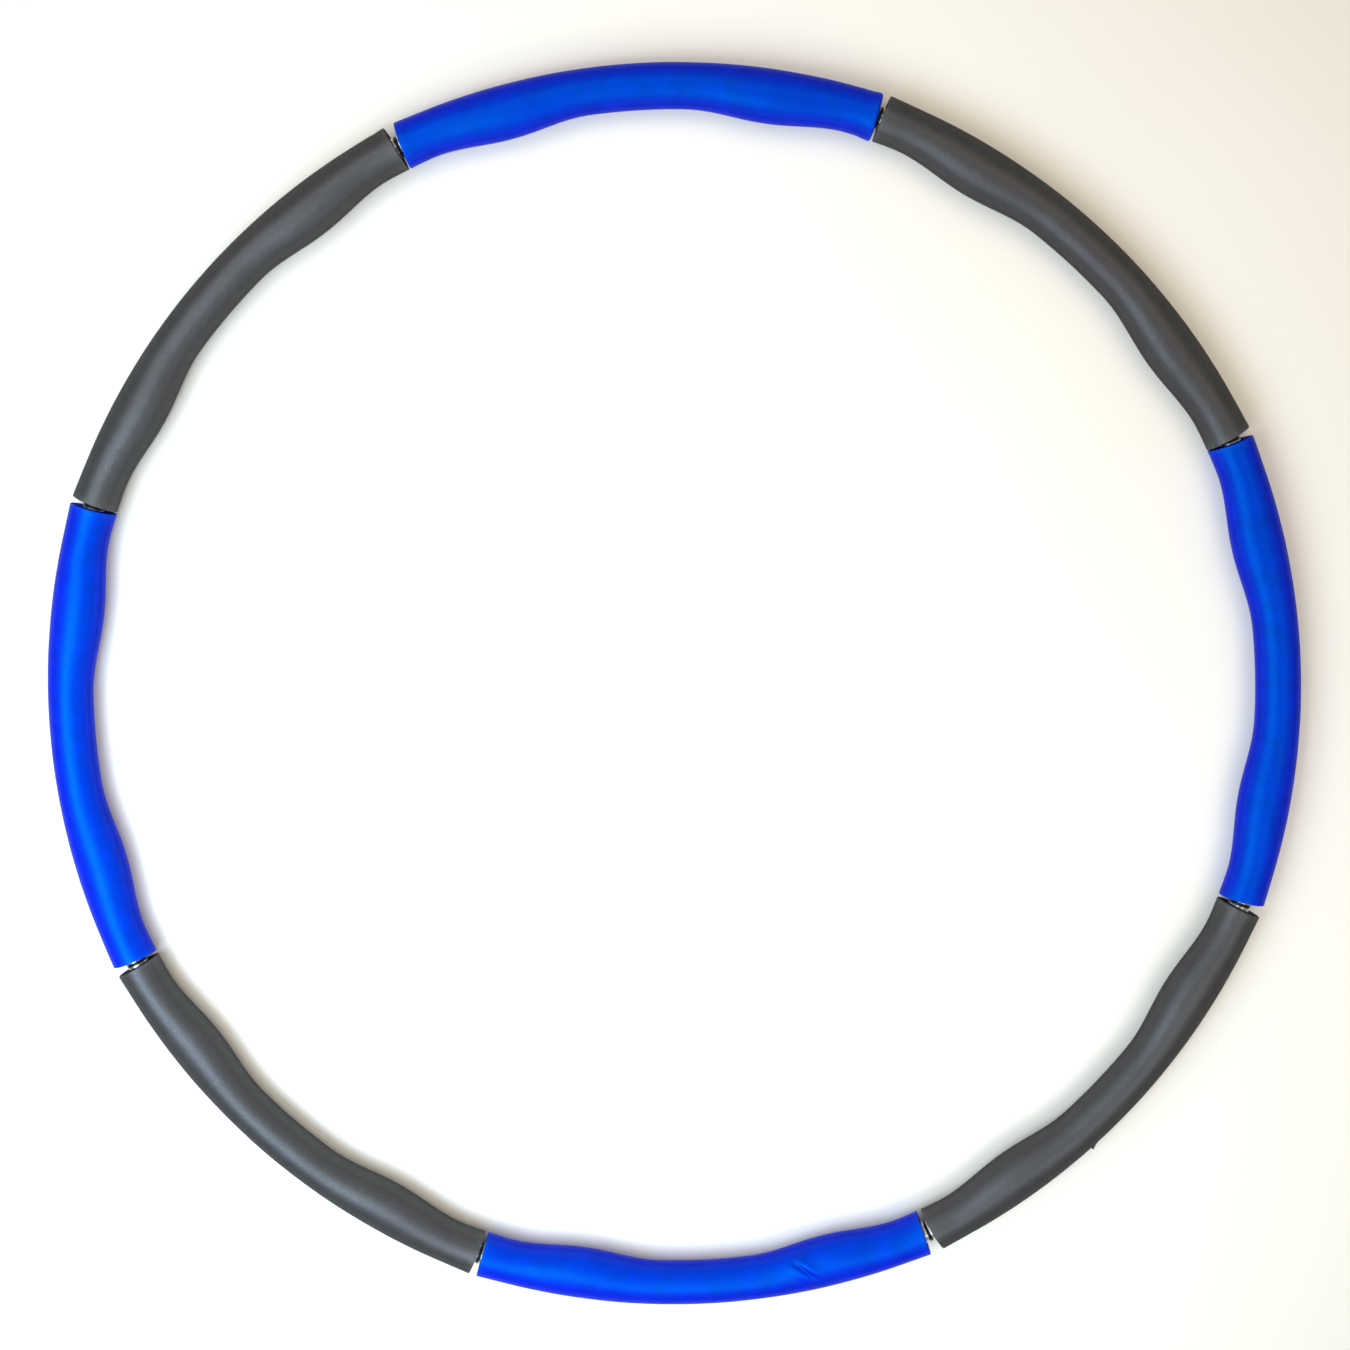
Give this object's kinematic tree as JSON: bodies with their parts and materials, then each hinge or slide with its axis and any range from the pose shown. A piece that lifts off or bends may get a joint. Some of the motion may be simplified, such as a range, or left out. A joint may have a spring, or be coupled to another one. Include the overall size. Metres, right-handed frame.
{
  "type": "sectional weighted fitness hoop",
  "caption": "Foam-covered exercise hoop of curved plug-together sections with wavy inner side, spring-button couplings and alternating blue and grey sleeves.",
  "frame": {"origin": "centre of the hoop, in the plane of its ring", "axes": "+Z along the hoop's axis, towards its front face; +Y from the centre to the middle of section 1; the sections are numbered counter-clockwise about +Z"},
  "size_m": [0.9962, 0.9962, 0.0386],
  "materials": {
    "blue_foam": "matte",
    "grey_foam": "matte",
    "tube_steel": "satin",
    "black_nylon": "satin",
    "pin_steel": "satin",
    "spring_steel": "polished"
  },
  "bodies": {
    "section_1": {"foam_sleeve_1": "blue_foam", "core_tube_1": "tube_steel", "coupler_plug_1": "black_nylon", "cross_pin_1": "pin_steel"},
    "section_2": {"foam_sleeve_2": "grey_foam", "core_tube_2": "tube_steel", "coupler_plug_2": "black_nylon", "cross_pin_2": "pin_steel"},
    "section_3": {"foam_sleeve_3": "blue_foam", "core_tube_3": "tube_steel", "coupler_plug_3": "black_nylon", "cross_pin_3": "pin_steel"},
    "section_4": {"foam_sleeve_4": "grey_foam", "core_tube_4": "tube_steel", "coupler_plug_4": "black_nylon", "cross_pin_4": "pin_steel"},
    "section_5": {"foam_sleeve_5": "blue_foam", "core_tube_5": "tube_steel", "coupler_plug_5": "black_nylon", "cross_pin_5": "pin_steel"},
    "section_6": {"foam_sleeve_6": "grey_foam", "core_tube_6": "tube_steel", "coupler_plug_6": "black_nylon", "cross_pin_6": "pin_steel"},
    "section_7": {"foam_sleeve_7": "blue_foam", "core_tube_7": "tube_steel", "coupler_plug_7": "black_nylon", "cross_pin_7": "pin_steel"},
    "section_8": {"foam_sleeve_8": "grey_foam", "core_tube_8": "tube_steel", "coupler_plug_8": "black_nylon", "cross_pin_8": "pin_steel"},
    "latch_1": {"snap_leaf_1": "spring_steel"},
    "latch_2": {"snap_leaf_2": "spring_steel"},
    "latch_3": {"snap_leaf_3": "spring_steel"},
    "latch_4": {"snap_leaf_4": "spring_steel"},
    "latch_5": {"snap_leaf_5": "spring_steel"},
    "latch_6": {"snap_leaf_6": "spring_steel"},
    "latch_7": {"snap_leaf_7": "spring_steel"},
    "latch_8": {"snap_leaf_8": "spring_steel"}
  },
  "joints": [
    {"name": "pull_2", "type": "slide", "parent": "section_1", "child": "section_2", "axis": [-0.9239, -0.3827, 0], "range_m": [0, 0.04]},
    {"name": "pull_3", "type": "slide", "parent": "section_2", "child": "section_3", "axis": [-0.3827, -0.9239, 0], "range_m": [0, 0.04]},
    {"name": "pull_4", "type": "slide", "parent": "section_3", "child": "section_4", "axis": [0.3827, -0.9239, 0], "range_m": [0, 0.04]},
    {"name": "pull_5", "type": "slide", "parent": "section_4", "child": "section_5", "axis": [0.9239, -0.3827, 0], "range_m": [0, 0.04]},
    {"name": "pull_6", "type": "slide", "parent": "section_5", "child": "section_6", "axis": [0.9239, 0.3827, 0], "range_m": [0, 0.04]},
    {"name": "pull_7", "type": "slide", "parent": "section_6", "child": "section_7", "axis": [0.3827, 0.9239, 0], "range_m": [0, 0.04]},
    {"name": "pull_8", "type": "slide", "parent": "section_7", "child": "section_8", "axis": [-0.3827, 0.9239, 0], "range_m": [0, 0.04]},
    {"name": "press_1", "type": "hinge", "parent": "section_1", "child": "latch_1", "pos_m": [-0.17219, 0.4523, 0], "axis": [0, 0, 1], "range_deg": [0, 5.5], "stiffness_Nm_per_rad": 1.7, "springref_deg": -2.86, "deforming": ["snap_leaf_1"]},
    {"name": "press_2", "type": "hinge", "parent": "section_2", "child": "latch_2", "pos_m": [-0.44158, 0.19806, 0], "axis": [0, 0, 1], "range_deg": [0, 5.5], "stiffness_Nm_per_rad": 1.7, "springref_deg": -2.86, "deforming": ["snap_leaf_2"]},
    {"name": "press_3", "type": "hinge", "parent": "section_3", "child": "latch_3", "pos_m": [-0.4523, -0.17219, 0], "axis": [0, 0, 1], "range_deg": [0, 5.5], "stiffness_Nm_per_rad": 1.7, "springref_deg": -2.86, "deforming": ["snap_leaf_3"]},
    {"name": "press_4", "type": "hinge", "parent": "section_4", "child": "latch_4", "pos_m": [-0.19806, -0.44158, 0], "axis": [0, 0, 1], "range_deg": [0, 5.5], "stiffness_Nm_per_rad": 1.7, "springref_deg": -2.86, "deforming": ["snap_leaf_4"]},
    {"name": "press_5", "type": "hinge", "parent": "section_5", "child": "latch_5", "pos_m": [0.17219, -0.4523, 0], "axis": [0, 0, 1], "range_deg": [0, 5.5], "stiffness_Nm_per_rad": 1.7, "springref_deg": -2.86, "deforming": ["snap_leaf_5"]},
    {"name": "press_6", "type": "hinge", "parent": "section_6", "child": "latch_6", "pos_m": [0.44158, -0.19806, 0], "axis": [0, 0, 1], "range_deg": [0, 5.5], "stiffness_Nm_per_rad": 1.7, "springref_deg": -2.86, "deforming": ["snap_leaf_6"]},
    {"name": "press_7", "type": "hinge", "parent": "section_7", "child": "latch_7", "pos_m": [0.4523, 0.17219, 0], "axis": [0, 0, 1], "range_deg": [0, 5.5], "stiffness_Nm_per_rad": 1.7, "springref_deg": -2.86, "deforming": ["snap_leaf_7"]},
    {"name": "press_8", "type": "hinge", "parent": "section_8", "child": "latch_8", "pos_m": [0.19806, 0.44158, 0], "axis": [0, 0, 1], "range_deg": [0, 5.5], "stiffness_Nm_per_rad": 1.7, "springref_deg": -2.86, "deforming": ["snap_leaf_8"]}
  ],
  "couplings": [
    {"joint": "pull_3", "follows": "pull_2", "ratio": 1},
    {"joint": "pull_4", "follows": "pull_2", "ratio": 1},
    {"joint": "pull_5", "follows": "pull_2", "ratio": 1},
    {"joint": "pull_6", "follows": "pull_2", "ratio": 1},
    {"joint": "pull_7", "follows": "pull_2", "ratio": 1},
    {"joint": "pull_8", "follows": "pull_2", "ratio": 1}
  ]
}
